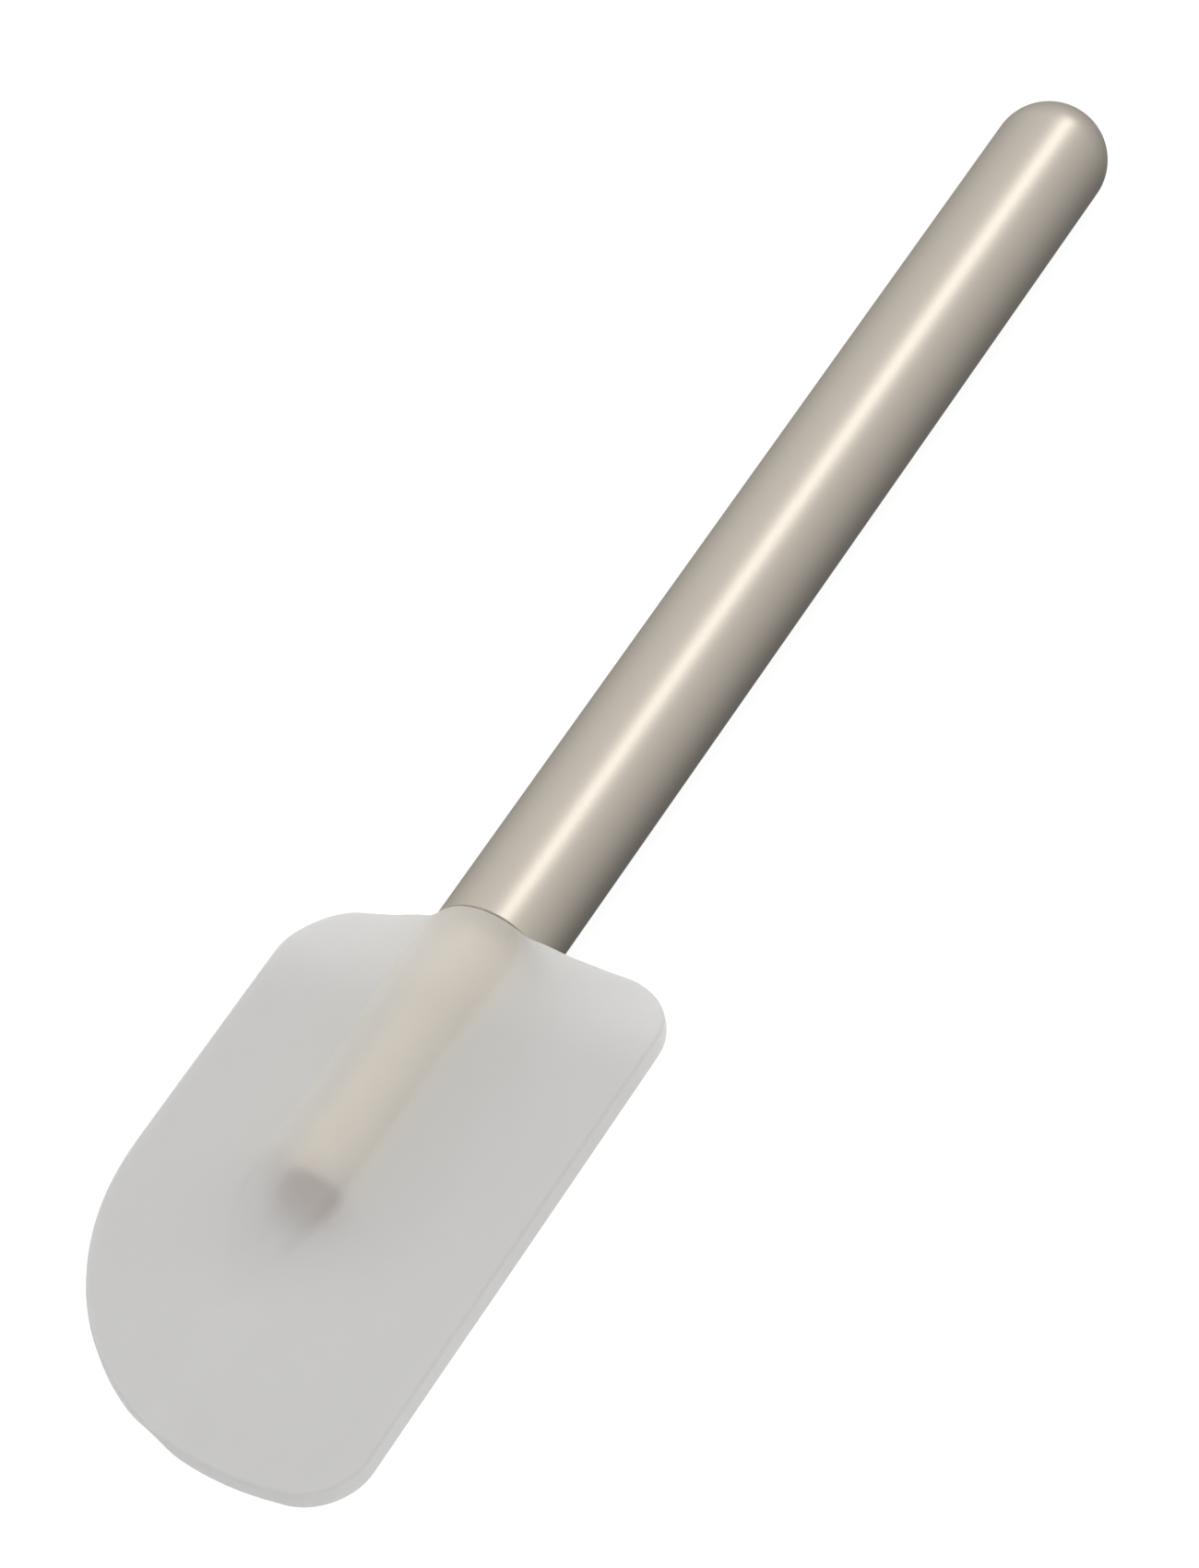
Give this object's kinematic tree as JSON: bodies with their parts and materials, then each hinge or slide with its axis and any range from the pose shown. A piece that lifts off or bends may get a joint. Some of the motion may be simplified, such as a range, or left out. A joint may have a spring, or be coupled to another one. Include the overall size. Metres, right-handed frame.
{
  "type": "silicone scraper spatula",
  "caption": "Bowl scraper spatula: thin pale silicone head with a straight edge and a large rounded corner, pulled off a round satin metal handle.",
  "frame": {"origin": "under the middle of the tool's length and width, level with the handle's lowest line", "axes": "+X along the tool from the domed end to the head's tip, +Y to the straight edge, +Z out of the head's face"},
  "size_m": [0.255, 0.055, 0.016],
  "materials": {
    "silicone": "frosted, slightly translucent, smooth",
    "tang_plastic": "moulded, matt cream",
    "fastener_steel": "browned, satin",
    "seal_rubber": "matt black",
    "bush_brass": "turned",
    "handle_metal": "satin champagne anodised"
  },
  "bodies": {
    "handle": {"handle_tube": "handle_metal", "tang_core": "tang_plastic", "tang_screw": "fastener_steel", "flat_washer": "fastener_steel", "spring_washer": "fastener_steel", "seal_ring": "seal_rubber", "threaded_bush": "bush_brass"},
    "head": {"silicone_head": "silicone"}
  },
  "joints": [
    {"name": "head_pull_off", "type": "slide", "parent": "handle", "child": "head", "axis": [1, 0, 0], "range_m": [0, 0.06]}
  ]
}
